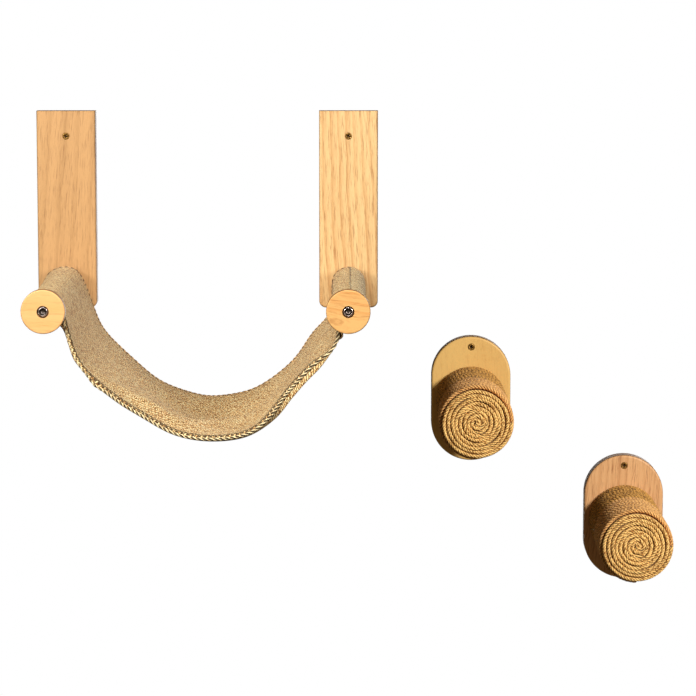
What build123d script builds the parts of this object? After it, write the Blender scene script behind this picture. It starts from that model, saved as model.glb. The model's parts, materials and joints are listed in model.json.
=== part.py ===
from build123d import *
import os
from math import acos, atan2, cos, dist, floor, hypot, pi, sin

# A wall mounted cat hammock with two rope wound climbing steps.
# Millimetres, with the wall as the plane y = 0 and the set standing out from it towards -Y.
# The origin is on the wall, midway between the axes of the two dowels that carry the sling.

os.makedirs("parts", exist_ok=True)

# Boards, each screwed flat to the wall, one for each dowel
dowel_spacing = 336.0
board_width = 70.0
board_height = 235.0
board_thickness = 18.0
board_below_dowel = 30.0
board_corner_radius = 8.0
board_edge_round = 3.0
board_screw_drop = 30.0

# Dowels, which stand square out of the boards
dowel_radius = 16.0
dowel_length = 290.0
dowel_edge_break = 1.0

# End caps, which stop the sling from sliding off, with the bolt and washer of each
cap_radius = 24.5
cap_thickness = 10.0
cap_edge_round = 1.6
cap_recess_depth = 6.0
cap_recess_gap = 0.4
washer_rim = 0.6
washer_thickness = 1.0
cap_bolt_radius = 3.0
cap_bolt_length = 18.0
bolt_head_radius = 5.7
bolt_head_height = 3.6
bolt_head_round = 0.6
bolt_socket_across = 5.0
bolt_socket_depth = 2.4

# Threaded inserts in the ends of the dowels, and the bolts that go on through into the wall
front_insert_radius = 4.5
front_insert_length = 16.0
rear_insert_radius = 6.0
rear_insert_length = 22.0
hanger_bolt_radius = 4.0
hanger_bolt_in_dowel = 20.0
wall_thread_radius = 3.5
wall_thread_length = 42.0
wall_thread_tip = 5.0
bolt_tip_room = 2.0

# Countersunk wood screws, one size throughout
screw_head_radius = 4.4
screw_shank_radius = 1.7
screw_thread_radius = 2.25
screw_bite = 30.0
screw_tip = 4.0
screw_sink = 0.2
screw_recess_width = 4.6
screw_recess_slot = 1.0
screw_recess_depth = 1.6
countersink_angle = 90.0

# Room between a turned piece and its hole: close for threads, easy for bolts through wood
thread_gap = 0.05
bolt_gap = 0.4

# Sling, one cloth with a sleeve sewn round each dowel
cloth_thickness = 3.0
sleeve_gap = 0.3
sleeve_end_play = 3.0
left_seam_inward = 35.0
left_seam_drop = 46.0
right_seam_inward = 21.0
right_seam_drop = 38.0
sling_sag = 141.0

# How the cloth hangs from the left seam to the right seam at its rear hem, its middle and its
# front hem: each bend's place across as a share of half the dowel spacing, its drop as a share
# of the sag, and its radius as a share of the sag
rear_bend_shares = ((-0.673, 0.518, 0.64), (-0.214, 0.972, 0.57), (0.298, 0.972, 0.64), (0.631, 0.660, 0.64))
middle_bend_shares = ((-0.667, 0.525, 0.43), (-0.143, 0.986, 0.43), (0.333, 1.014, 0.5), (0.649, 0.645, 0.5))
front_bend_shares = ((-0.649, 0.557, 0.36), (-0.080, 0.996, 0.32), (0.363, 0.989, 0.28), (0.667, 0.638, 0.5))

# Steps, each a wall plate with a peg that is wound in rope
step_1_right = 315.0
step_1_drop = 140.0
step_2_right = 500.0
step_2_drop = 284.0
plate_width = 95.0
plate_height = 150.0
plate_thickness = 18.0
plate_edge_round = 2.5
plate_screw_inset = 12.6
peg_drop = 2.4
core_radius = 37.0
core_length = 175.0
core_edge_break = 1.5
core_screw_spacing = 30.0

# Rope on the pegs: a darker length next to the wall, a lighter one in front of it, and a flat
# coil on the face of the peg
rope_diameter = 5.0
rope_sides = 4
rope_gap = 0.45
rope_seat = 0.3
winding_loops = 15
coil_least_radius = 4.0

board_front = -board_thickness
board_top = board_height - board_below_dowel
board_screw_height = board_top - board_screw_drop
dowel_front = board_front - dowel_length
cap_front = dowel_front - cap_thickness
washer_radius = bolt_head_radius + washer_rim
cap_recess_radius = washer_radius + cap_recess_gap
recess_floor = cap_front + cap_recess_depth
bolt_head_seat = recess_floor - washer_thickness
bolt_head_top = bolt_head_seat - bolt_head_height
cap_bolt_end = bolt_head_seat + cap_bolt_length
hanger_bolt_end = board_front - hanger_bolt_in_dowel
sling_rear = board_front - sleeve_end_play
sling_front = dowel_front + sleeve_end_play
plate_front = -plate_thickness
core_front = plate_front - core_length
rope_radius = rope_diameter / 2
wound_radius = core_radius + rope_seat + rope_radius


def level_plane(x, z):
    """A level plane through an axis square to the wall, where the outline of a turned piece is drawn."""
    return Plane(origin=(x, 0, z))


def square_axis(x, z):
    """The axis square to the wall that passes through x and z."""
    return Axis((x, 0, z), (0, 1, 0))


def turn_outline(x, z, outline, mode=Mode.ADD):
    """Turn an outline of (radius, y) corners about the axis square to the wall through x and z."""
    with BuildSketch(level_plane(x, z)) as half_section:
        with BuildLine():
            Polyline(*outline, close=True)
        make_face()
    revolve(half_section.sketch, axis=square_axis(x, z), mode=mode)


def bore(x, z, radius, start, end):
    """Drill a plain hole square to the wall from start to end."""
    turn_outline(x, z, ((0, start), (radius, start), (radius, end), (0, end)), mode=Mode.SUBTRACT)


def wood_screw(x, z, head_face, way, grip):
    """A countersunk screw that enters at head_face, goes way (1 is into the wall) and bites past its grip."""
    head_top = head_face + way * screw_sink
    neck = head_top + way * (screw_head_radius - screw_shank_radius)
    grip_end = head_face + way * grip
    point = grip_end + way * screw_bite
    turn_outline(
        x,
        z,
        (
            (0, head_top),
            (screw_head_radius, head_top),
            (screw_shank_radius, neck),
            (screw_shank_radius, grip_end),
            (screw_thread_radius, grip_end),
            (screw_thread_radius, point - way * screw_tip),
            (0, point),
        ),
    )
    with Locations((x, head_top, z)):
        Box(screw_recess_width, 2 * screw_recess_depth, screw_recess_slot, mode=Mode.SUBTRACT)
        Box(screw_recess_slot, 2 * screw_recess_depth, screw_recess_width, mode=Mode.SUBTRACT)


def screw_holes(plane, *places):
    """Countersunk clearance holes for the wood screws, drilled through from the plane."""
    with Locations(*[plane.location * Location(place) for place in places]):
        CounterSinkHole(
            screw_thread_radius + bolt_gap,
            screw_head_radius + screw_sink + thread_gap,
            counter_sink_angle=countersink_angle,
        )


def export(part, label):
    """Label one sub-part and write its file."""
    part.label = label
    export_step(part, f"parts/{label}.step")


# Wall boards: square and crisp at the top, round cornered at the foot, softened along the front
for side_name, side in (("left", -1), ("right", 1)):
    dowel_x = side * dowel_spacing / 2
    with BuildPart() as board:
        with BuildSketch(Plane.XZ) as outline:
            with Locations((dowel_x, board_top - board_height / 2)):
                Rectangle(board_width, board_height)
            fillet(outline.vertices().group_by(Axis.Y)[0], board_corner_radius)
        extrude(amount=board_thickness)
        front_edges = board.faces().sort_by(Axis.Y)[0].edges().sort_by(Axis.Z)
        fillet(front_edges[:-1], board_edge_round)
        screw_holes(Plane.XZ.offset(board_thickness), (dowel_x, board_screw_height, 0))
        bore(dowel_x, 0, hanger_bolt_radius + bolt_gap, board_front, 0)
    export(board.part, f"{side_name}_board")

# The screw near the top of each board
with BuildPart() as board_screws:
    for side in (-1, 1):
        wood_screw(side * dowel_spacing / 2, board_screw_height, board_front, 1, board_thickness)
export(board_screws.part, "board_screws")

for side_name, side in (("left", -1), ("right", 1)):
    dowel_x = side * dowel_spacing / 2

    # Dowel, drilled at the wall end and the cap end for its inserts
    with BuildPart() as dowel:
        turn_outline(
            dowel_x,
            0,
            (
                (0, board_front),
                (dowel_radius - dowel_edge_break, board_front),
                (dowel_radius, board_front - dowel_edge_break),
                (dowel_radius, dowel_front + dowel_edge_break),
                (dowel_radius - dowel_edge_break, dowel_front),
                (0, dowel_front),
            ),
        )
        bore(dowel_x, 0, front_insert_radius + thread_gap, dowel_front, dowel_front + front_insert_length)
        bore(dowel_x, 0, cap_bolt_radius + bolt_gap, dowel_front, cap_bolt_end + bolt_tip_room)
        bore(dowel_x, 0, rear_insert_radius + thread_gap, board_front - rear_insert_length, board_front)
        bore(dowel_x, 0, hanger_bolt_radius + bolt_gap, hanger_bolt_end - bolt_tip_room, board_front)
    export(dowel.part, f"{side_name}_dowel")

    # Threaded insert that takes the cap's bolt
    with BuildPart() as front_insert:
        turn_outline(
            dowel_x,
            0,
            (
                (cap_bolt_radius + thread_gap, dowel_front),
                (front_insert_radius, dowel_front),
                (front_insert_radius, dowel_front + front_insert_length),
                (cap_bolt_radius + thread_gap, dowel_front + front_insert_length),
            ),
        )
    export(front_insert.part, f"{side_name}_front_insert")

    # Threaded insert that takes the bolt from the wall
    with BuildPart() as rear_insert:
        turn_outline(
            dowel_x,
            0,
            (
                (hanger_bolt_radius + thread_gap, board_front),
                (rear_insert_radius, board_front),
                (rear_insert_radius, board_front - rear_insert_length),
                (hanger_bolt_radius + thread_gap, board_front - rear_insert_length),
            ),
        )
    export(rear_insert.part, f"{side_name}_rear_insert")

    # Hanger bolt: machine thread in the dowel and the board, coarse thread in the wall
    with BuildPart() as hanger_bolt:
        turn_outline(
            dowel_x,
            0,
            (
                (0, hanger_bolt_end),
                (hanger_bolt_radius, hanger_bolt_end),
                (hanger_bolt_radius, 0),
                (wall_thread_radius, 0),
                (wall_thread_radius, wall_thread_length - wall_thread_tip),
                (0, wall_thread_length),
            ),
        )
    export(hanger_bolt.part, f"{side_name}_hanger_bolt")

    # End cap: a thin turned disc with its bolt sunk in the middle
    with BuildPart() as end_cap:
        with BuildSketch(Plane.XZ.offset(-dowel_front)):
            with Locations((dowel_x, 0)):
                Circle(cap_radius)
        extrude(amount=cap_thickness)
        fillet(end_cap.edges().group_by(Axis.Y)[0], cap_edge_round)
        with Locations(Plane.XZ.offset(-cap_front).location * Location((dowel_x, 0, 0))):
            CounterBoreHole(cap_bolt_radius + bolt_gap, cap_recess_radius, cap_recess_depth)
    export(end_cap.part, f"{side_name}_end_cap")

    # Washer under the bolt's head
    with BuildPart() as cap_washer:
        turn_outline(
            dowel_x,
            0,
            (
                (cap_bolt_radius + bolt_gap, recess_floor),
                (washer_radius, recess_floor),
                (washer_radius, bolt_head_seat),
                (cap_bolt_radius + bolt_gap, bolt_head_seat),
            ),
        )
    export(cap_washer.part, f"{side_name}_cap_washer")

    # Cap bolt with a hexagonal socket
    with BuildPart() as cap_bolt:
        turn_outline(
            dowel_x,
            0,
            (
                (0, bolt_head_top),
                (bolt_head_radius - bolt_head_round, bolt_head_top),
                (bolt_head_radius, bolt_head_top + bolt_head_round),
                (bolt_head_radius, bolt_head_seat),
                (cap_bolt_radius, bolt_head_seat),
                (cap_bolt_radius, cap_bolt_end),
                (0, cap_bolt_end),
            ),
        )
        with BuildSketch(Plane.XZ.offset(-bolt_head_top)):
            with Locations((dowel_x, 0)):
                RegularPolygon(bolt_socket_across / 2, 6, major_radius=False)
        extrude(amount=-bolt_socket_depth, mode=Mode.SUBTRACT)
    export(cap_bolt.part, f"{side_name}_cap_bolt")


def sleeve_face(dowel_x, seam, radius):
    """A drop shape in the current sketch: a circle round the dowel, drawn out to a point at the seam."""
    toward_seam = atan2(seam[1], seam[0] - dowel_x)
    reach = hypot(seam[0] - dowel_x, seam[1]) * radius / (dowel_radius + sleeve_gap)
    spread = acos(radius / reach)
    tip = (dowel_x + reach * cos(toward_seam), reach * sin(toward_seam))
    touches = [
        (dowel_x + radius * cos(toward_seam + turn), radius * sin(toward_seam + turn))
        for turn in (spread, -spread)
    ]
    with Locations((dowel_x, 0)):
        Circle(radius)
    Polygon(tip, *touches, align=None)


left_seam = (-dowel_spacing / 2 + left_seam_inward, -left_seam_drop)
right_seam = (dowel_spacing / 2 - right_seam_inward, -right_seam_drop)
sleeves = ((-dowel_spacing / 2, left_seam), (dowel_spacing / 2, right_seam))
sling_middle = (sling_rear + sling_front) / 2

# Sling: the hanging cloth is lofted from hem to hem between the two seams, and each end is
# turned over its dowel and sewn back to itself, which leaves a drop shaped sleeve
with BuildPart() as sling:
    for hem, bend_shares in (
        (sling_rear, rear_bend_shares),
        (sling_middle, middle_bend_shares),
        (sling_front, front_bend_shares),
    ):
        bends = [(across * dowel_spacing / 2, -down * sling_sag) for across, down, _ in bend_shares]
        radii = [radius * sling_sag for _, _, radius in bend_shares]
        with BuildSketch(Plane.XZ.offset(-hem)):
            with BuildLine():
                FilletPolyline(left_seam, *bends, right_seam, radius=radii)
                offset(amount=cloth_thickness / 2, side=Side.BOTH, kind=Kind.INTERSECTION)
            make_face()
    loft()
    for dowel_x, seam in sleeves:
        with BuildSketch(Plane.XZ.offset(-sling_rear)):
            sleeve_face(dowel_x, seam, dowel_radius + sleeve_gap + cloth_thickness)
        extrude(amount=sling_rear - sling_front)
    for dowel_x, seam in sleeves:
        with BuildSketch(Plane.XZ.offset(-sling_rear)):
            sleeve_face(dowel_x, seam, dowel_radius + sleeve_gap)
        extrude(amount=sling_rear - sling_front, mode=Mode.SUBTRACT)
export(sling.part, "sling")


def rope(path):
    """Sweep the rope's section along a centre line, and tell its least gap and how its volume compares."""
    section_plane = Plane(origin=path @ 0, x_dir=(0, 1, 0), z_dir=path % 0)
    with BuildSketch(section_plane) as section:
        RegularPolygon(rope_radius, rope_sides)
    sweep(section.sketch, path=path)
    steps = floor(2 * path.length / rope_radius)
    places = [tuple(path @ (step / steps)) for step in range(steps + 1)]
    nearest = floor(pi * coil_least_radius * steps / path.length)
    furthest = floor(3 * pi * wound_radius * steps / path.length)
    gap = min(
        dist(place, other)
        for at, place in enumerate(places)
        for other in places[at + nearest : at + furthest]
    )
    share = section.sketch.area * path.length
    return gap - rope_diameter, share


def winding_path(x, z, start, pitch, loops):
    """A rope's centre line round a peg from y = start outwards, in half turn arcs with straight ends."""
    places = [
        (
            x + wound_radius * sin(half * pi / 2),
            start - half * pitch / 4,
            z - wound_radius * cos(half * pi / 2),
        )
        for half in range(4 * loops + 1)
    ]
    Line((x - rope_diameter, start, z - wound_radius), places[0])
    for first, second, third in zip(places[::2], places[1::2], places[2::2]):
        ThreePointArc(first, second, third)
    last = places[-1]
    Line(last, (last[0] + rope_diameter, last[1], last[2]))


def coil_path(x, y, z):
    """A flat coil's centre line, in half turn arcs that tighten inwards from the rim."""
    pitch = rope_diameter + rope_gap
    half_turns = floor(2 * (wound_radius - coil_least_radius) / pitch) + 1
    right = x + wound_radius
    Line((right, y, z - rope_diameter), (right, y, z))
    ends = [(right, z)]
    for half in range(half_turns):
        radius = wound_radius - half * pitch / 2
        way = 1 if half % 2 == 0 else -1
        centre = ends[-1][0] - way * radius
        top = (centre, y, z + way * radius)
        ends.append((centre - way * radius, z))
        ThreePointArc((ends[-2][0], y, z), top, (ends[-1][0], y, z))


winding_length = (core_length - rope_seat) / 2 - rope_gap
winding_pitch = (winding_length - rope_diameter) / winding_loops
rear_start = plate_front - rope_gap / 2 - rope_radius
front_start = rear_start - winding_length - rope_gap / 2
coil_height = core_front - rope_seat - rope_radius

for step_name, step_x, step_z in (
    ("step_1", step_1_right, -step_1_drop),
    ("step_2", step_2_right, -step_2_drop),
):
    peg_z = step_z - peg_drop
    screw_reach = plate_height / 2 - plate_screw_inset
    wall_screws = [(step_x, step_z + way * screw_reach) for way in (1, -1)]
    core_screws = [(step_x + way * core_screw_spacing / 2, peg_z) for way in (-1, 1)]

    # Wall plate: straight sides and half round ends, with the wall screws above and below the peg
    with BuildPart() as plate:
        with BuildSketch(Plane.XZ):
            with Locations((step_x, step_z)):
                SlotOverall(plate_height, plate_width, rotation=90)
        extrude(amount=plate_thickness)
        fillet(plate.edges().group_by(Axis.Y)[0], plate_edge_round)
        screw_holes(Plane.XZ.offset(plate_thickness), *[(x, z, 0) for x, z in wall_screws])
        back = Plane(origin=(0, 0, 0), x_dir=(1, 0, 0), z_dir=(0, 1, 0))
        screw_holes(back, *[(x, -z, 0) for x, z in core_screws])
    export(plate.part, f"{step_name}_plate")

    # Core of the peg, drilled for the two screws that hold it to the plate
    with BuildPart() as core:
        turn_outline(
            step_x,
            peg_z,
            (
                (0, plate_front),
                (core_radius, plate_front),
                (core_radius, core_front + core_edge_break),
                (core_radius - core_edge_break, core_front),
                (0, core_front),
            ),
        )
        for x, z in core_screws:
            bore(x, z, screw_thread_radius + thread_gap, plate_front - screw_bite, plate_front)
    export(core.part, f"{step_name}_core")

    # Screws into the wall, and screws from the back of the plate into the core
    with BuildPart() as plate_screws:
        for x, z in wall_screws:
            wood_screw(x, z, plate_front, 1, plate_thickness)
    export(plate_screws.part, f"{step_name}_wall_screws")
    with BuildPart() as core_fixings:
        for x, z in core_screws:
            wood_screw(x, z, 0, -1, plate_thickness)
    export(core_fixings.part, f"{step_name}_core_screws")

    # Rope wound round the peg, from the plate out to the face
    for winding_name, start in (("rear_winding", rear_start), ("front_winding", front_start)):
        with BuildPart() as winding:
            with BuildLine() as wound_line:
                winding_path(step_x, peg_z, start, winding_pitch, winding_loops)
            gap, expected = rope(wound_line.wires()[0])
        print(f"{step_name}_{winding_name} least gap {gap:.2f} volume {winding.part.volume / expected:.4f}")
        export(winding.part, f"{step_name}_{winding_name}")

    # Rope coiled flat on the face of the peg
    with BuildPart() as face_coil:
        with BuildLine() as coil_line:
            coil_path(step_x, coil_height, peg_z)
        gap, expected = rope(coil_line.wires()[0])
    print(f"{step_name}_face_coil least gap {gap:.2f} volume {face_coil.part.volume / expected:.4f}")
    export(face_coil.part, f"{step_name}_face_coil")
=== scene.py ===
import json
from math import acos, atan2, cos, hypot, pi, radians, sin

import bpy
import numpy as np
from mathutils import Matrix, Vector

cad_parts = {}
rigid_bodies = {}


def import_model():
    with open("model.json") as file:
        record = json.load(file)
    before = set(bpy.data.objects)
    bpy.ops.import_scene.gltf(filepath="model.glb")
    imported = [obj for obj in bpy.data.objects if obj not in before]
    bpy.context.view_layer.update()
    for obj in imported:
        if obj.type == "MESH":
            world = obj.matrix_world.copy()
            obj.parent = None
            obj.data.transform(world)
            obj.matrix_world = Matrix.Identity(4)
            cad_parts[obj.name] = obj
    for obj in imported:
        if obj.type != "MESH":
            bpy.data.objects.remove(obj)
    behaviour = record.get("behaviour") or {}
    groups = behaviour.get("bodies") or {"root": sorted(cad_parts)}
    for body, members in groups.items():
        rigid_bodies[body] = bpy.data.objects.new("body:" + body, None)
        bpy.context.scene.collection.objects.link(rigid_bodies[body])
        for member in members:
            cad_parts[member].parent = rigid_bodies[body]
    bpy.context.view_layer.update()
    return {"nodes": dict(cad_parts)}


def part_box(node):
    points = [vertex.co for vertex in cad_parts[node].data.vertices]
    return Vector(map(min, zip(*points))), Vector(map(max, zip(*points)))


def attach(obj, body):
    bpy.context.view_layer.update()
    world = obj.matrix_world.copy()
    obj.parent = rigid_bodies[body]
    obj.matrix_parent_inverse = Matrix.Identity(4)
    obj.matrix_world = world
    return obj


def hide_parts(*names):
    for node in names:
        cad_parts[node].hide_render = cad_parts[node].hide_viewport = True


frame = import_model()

# A wall mounted cat hammock with two rope wound climbing steps. Metres, in the frame of the packed
# model: the wall is the plane y = 0, the set stands out from it towards -Y, and Z is up.
scene = bpy.context.scene
scene.view_settings.view_transform = "Standard"
mm = 0.001


# Studio. The photograph was taken from well back, above the set and a little left of its middle,
# against plain white. It is a montage: the hammock was lit from above and from both sides, the steps
# from the right alone. So each lamp in front lights its own part, and the one behind lights them all.
camera_place = Vector((0.1713, -3.6801, 0.3959))
camera_aim = Vector((0.1674, -0.0500, -0.0745))
camera = bpy.data.objects.new("camera", bpy.data.cameras.new("camera"))
camera.data.lens = 159.3
camera.data.sensor_width = 36
camera.location = camera_place
camera.rotation_euler = (camera_aim - camera_place).to_track_quat("-Z", "Y").to_euler()
scene.collection.objects.link(camera)
scene.camera = camera


lit_sets = {part: bpy.data.collections.new(f"lit_{part}") for part in ("hammock", "steps", "all")}


def lamp(name, place, aim, wide, tall, power, part):
    """A soft box at place that faces aim and lights that part of the set, or all of it."""
    light = bpy.data.lights.new(name, "AREA")
    light.shape = "RECTANGLE"
    light.size = wide
    light.size_y = tall
    light.energy = power
    soft_box = bpy.data.objects.new(name, light)
    soft_box.location = place
    soft_box.rotation_euler = (Vector(aim) - Vector(place)).to_track_quat("-Z", "Y").to_euler()
    soft_box.light_linking.receiver_collection = lit_sets[part]
    scene.collection.objects.link(soft_box)


lamp("hammock_top_lamp", (-0.3, -1.5, 1.7), (0.0, -0.15, -0.1), 1.6, 0.7, 58, "hammock")
lamp("hammock_left_lamp", (-1.7, -2.4, 0.85), (0.0, -0.1, -0.1), 0.6, 0.6, 49, "hammock")
lamp("hammock_right_lamp", (2.0, -2.3, 0.8), (0.0, -0.1, -0.1), 0.7, 0.7, 44, "hammock")
lamp("steps_lamp", (1.8, -2.3, 1.05), (0.4, -0.1, -0.2), 0.5, 0.5, 108, "steps")
lamp("back_lamp", (0.7, 2.4, -0.4), (0.1, 0.0, -0.1), 1.4, 1.4, 22, "all")


class Signal:
    """An output socket of a finish. Sums on it add Math nodes, as sums on numbers do."""

    def __init__(self, finish, socket):
        self.finish = finish
        self.socket = socket

    def maths(self, operation, *terms):
        return self.finish.add("Math", {"operation": operation}, dict(enumerate(terms)))

    def __add__(self, other):
        return self.maths("ADD", self, other)

    def __sub__(self, other):
        return self.maths("SUBTRACT", self, other)

    def __rsub__(self, other):
        return self.maths("SUBTRACT", other, self)

    def __mul__(self, other):
        return self.maths("MULTIPLY", self, other)

    def __pow__(self, other):
        return self.maths("POWER", self, other)

    __radd__ = __add__
    __rmul__ = __mul__


class Finish:
    """A material, or the world, whose nodes are added one call at a time."""

    def __init__(self, name, owner=None):
        self.owner = owner or bpy.data.materials.new(name)
        self.owner.use_nodes = True
        self.tree = self.owner.node_tree

    def add(self, kind, settings, sockets, output=0):
        """A node of that kind with its settings, then the values or links of its sockets."""
        node = self.tree.nodes.new("ShaderNode" + kind)
        for name, setting in settings.items():
            setattr(node, name, setting)
        self.join(node, sockets)
        return Signal(self, node.outputs[output])

    def join(self, node, sockets):
        for name, value in sockets.items():
            if isinstance(value, Signal):
                self.tree.links.new(value.socket, node.inputs[name])
            else:
                node.inputs[name].default_value = value

    def mix(self, share, first, second):
        """The first colour where share is 0 and the second where it is 1."""
        settings = {"data_type": "RGBA", "clamp_factor": True}
        return self.add("Mix", settings, {0: share, 6: first, 7: second}, 2)

    def between(self, value, low, high):
        """0 where value is under low, 1 over high, and a smooth step between them."""
        sockets = {"Value": value, "From Min": low, "From Max": high}
        return self.add("MapRange", {"interpolation_type": "SMOOTHSTEP"}, sockets)

    def scaled(self, vector, scale, shift=(0, 0, 0)):
        sockets = {"Vector": vector, "Scale": scale, "Location": shift}
        return self.add("Mapping", {}, sockets)

    def noise(self, vector, scale, detail=2.0, roughness=0.5):
        sockets = {"Vector": vector, "Scale": scale, "Detail": detail, "Roughness": roughness}
        return self.add("TexNoise", {}, sockets)

    def bump(self, strength, depth, height):
        """The normal of a surface that height, from 0 to 1, raises by up to depth."""
        sockets = {"Strength": strength, "Distance": depth, "Height": height}
        return self.add("Bump", {}, sockets, "Normal")

    def surface(self, sockets):
        self.join(self.tree.nodes["Principled BSDF"], sockets)


def tone(red, green, blue):
    """A colour as the eye reads it, each part from 0 to 255, in a shader's linear values."""
    parts = [part / 255 for part in (red, green, blue)]
    return (*[p / 12.92 if p <= 0.04045 else ((p + 0.055) / 1.055) ** 2.4 for p in parts], 1)


# The background is white where the camera sees it. A dim warm sky lights the set, and a pale round
# floor far below fades out to the background. The lamps leave the floor out, so it throws little back.
def seen_rays(finish):
    """1 for rays from the camera."""
    return finish.add("LightPath", {}, {}, "Is Camera Ray")


white = (1, 1, 1, 1)
sky_strength = 0.11
scene.world = bpy.data.worlds.new("studio")
sky = Finish("studio", scene.world)
sky.join(
    sky.tree.nodes["Background"],
    {
        "Color": sky.mix(seen_rays(sky), tone(255, 230, 188), white),
        "Strength": sky_strength + (1 - sky_strength) * seen_rays(sky),
    },
)

floor_drop = 1.6
floor_radius = 3.4
floor_mesh = bpy.data.meshes.new("floor")
rim_angles = [radians(angle) for angle in range(0, 360, 6)]
rim = [(floor_radius * cos(angle), floor_radius * sin(angle), -floor_drop) for angle in rim_angles]
floor_mesh.from_pydata(rim, [], [range(len(rim))])
floor = bpy.data.objects.new("floor", floor_mesh)
scene.collection.objects.link(floor)
pale_floor = Finish("pale_floor")
floor_mesh.materials.append(pale_floor.owner)
place = pale_floor.add("TexCoord", {}, {}, "Object")
across_floor = pale_floor.scaled(place, (1, 1, 0))
from_middle = pale_floor.add("VectorMath", {"operation": "LENGTH"}, {0: across_floor}, 1)
fade = pale_floor.between(from_middle, 0.45 * floor_radius, 0.95 * floor_radius)
grit = pale_floor.noise(place, 40.0)
pale_floor.surface(
    {
        "Base Color": pale_floor.mix(grit, tone(238, 237, 234), tone(246, 245, 243)),
        "Roughness": 0.9,
    }
)
glow = pale_floor.add("Emission", {}, {"Color": white, "Strength": 1.0})
floor_look = pale_floor.add(
    "MixShader",
    {},
    {
        0: (0.85 + 0.15 * fade) * seen_rays(pale_floor),
        1: Signal(pale_floor, pale_floor.tree.nodes["Principled BSDF"].outputs[0]),
        2: glow,
    },
)
pale_floor.join(pale_floor.tree.nodes["Material Output"], {"Surface": floor_look})


# Wall boards. Pale hardwood planks that lie flat on the wall, with the grain upright: long streaks of
# growth rings, fine dark fibre lines and pores, and edges and ends darkened partly by sawn grain, partly
# by painted shade.
sawn_and_shaded_edge = tone(94, 58, 27)


def wood(name, pale, dark, pore, grain, heart, tilt, ring_gap, ring_share, line_share):
    """Oiled hardwood. grain is the axis of the fibres, heart the tree's middle, tilt how it leans.

    ring_share and line_share say how strongly the growth rings and the fibre lines show."""
    finish = Finish(name)
    place = finish.add("TexCoord", {}, {}, "Object")
    part = {axis: finish.add("SeparateXYZ", {}, {0: place}, axis) for axis in "XYZ"}
    middle_of = dict(zip("XYZ", heart))
    side, deep = [axis for axis in "XYZ" if axis != grain]
    run = part[grain]
    sway_scale = [14.0 if axis == grain else 40.0 for axis in "XYZ"]
    sway = finish.noise(finish.scaled(place, sway_scale), 1.0, 2.0, 0.5)
    from_side = part[side] - middle_of[side]
    from_deep = part[deep] - middle_of[deep] + tilt * (run - middle_of[grain])
    out = (from_side * from_side + from_deep * from_deep) ** 0.5 + 0.006 * sway
    ring = finish.add("Math", {"operation": "FRACT"}, {0: out * (1 / ring_gap) + 0.3 * sway})
    late_wood = finish.between(ring, 0.35, 1.0) - finish.between(ring, 0.97, 1.0)
    along_lines = finish.add("CombineXYZ", {}, {0: out, 1: 0.05 * run, 2: 0.3 * part[side]})
    lines = finish.between(finish.noise(along_lines, 820.0, 3.0, 0.6), 0.5, 0.7)
    fine_lines = finish.between(finish.noise(along_lines, 1900.0, 2.0, 0.6), 0.5, 0.72)
    broad = finish.noise(finish.scaled(along_lines, (1, 1, 1), (3, 5, 7)), 70.0, 2.0, 0.5)
    pore_place = finish.scaled(along_lines, (1, 1.6, 1), (1, 2, 3))
    pores = finish.between(finish.noise(pore_place, 1500.0, 2.0), 0.64, 0.74)
    figure = finish.between(ring_share * late_wood + 0.9 * broad + 0.3 * fine_lines - 0.25, 0.0, 1.0)
    body = finish.mix(line_share * lines, finish.mix(figure, pale, dark), pore)
    body = finish.mix(0.5 * line_share * pores, body, pore)
    facing = finish.add("SeparateXYZ", {}, {0: finish.add("TexCoord", {}, {}, "Normal")}, "Y")
    level = finish.add("Math", {"operation": "ABSOLUTE"}, {0: facing})
    # Edges and ends darken by the way they face: partly the sawn grain's own darker tone, partly painted
    # shade.
    edge_darkening = finish.between(level, 0.75, 0.97) if grain == "Y" else finish.between(level, 0.7, 0.3)
    finish.surface(
        {
            "Base Color": finish.mix(0.8 * edge_darkening, body, sawn_and_shaded_edge),
            "Roughness": 0.42 + 0.1 * broad + 0.1 * lines,
            "Specular IOR Level": 0.3,
            "Normal": finish.bump(0.3, 0.3 * mm, 1 - 0.6 * lines - 0.6 * pores),
        }
    )
    return finish


def dress(finish, *nodes):
    """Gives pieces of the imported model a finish."""
    for node in nodes:
        for slot in frame["nodes"][node].material_slots:
            slot.material = finish.owner


def middle(node):
    """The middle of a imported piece's box."""
    low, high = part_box(node)
    return (Vector(low) + Vector(high)) / 2


left_x = middle("left_dowel").x
right_x = middle("right_dowel").x
left_board_wood = wood(
    "left_board_wood",
    pale=tone(195, 150, 99),
    dark=tone(168, 126, 79),
    pore=tone(116, 76, 40),
    grain="Z",
    heart=(left_x - 0.14, 0.05, 0.16),
    tilt=0.12,
    ring_gap=0.016,
    ring_share=0.28,
    line_share=0.42,
)
right_board_wood = wood(
    "right_board_wood",
    pale=tone(218, 181, 126),
    dark=tone(188, 138, 84),
    pore=tone(142, 91, 44),
    grain="Z",
    heart=(right_x + 0.13, 0.04, 0.02),
    tilt=0.12,
    ring_gap=0.009,
    ring_share=0.4,
    line_share=0.6,
)
dress(left_board_wood, "left_board")
dress(right_board_wood, "right_board")


# Screws of the boards and plates. Yellow plated countersunk wood screws with a cross recess, driven
# through the wood into the wall. Painted shade darkens the recess and the rim of the head.
recess_shade = tone(38, 24, 12)


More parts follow.
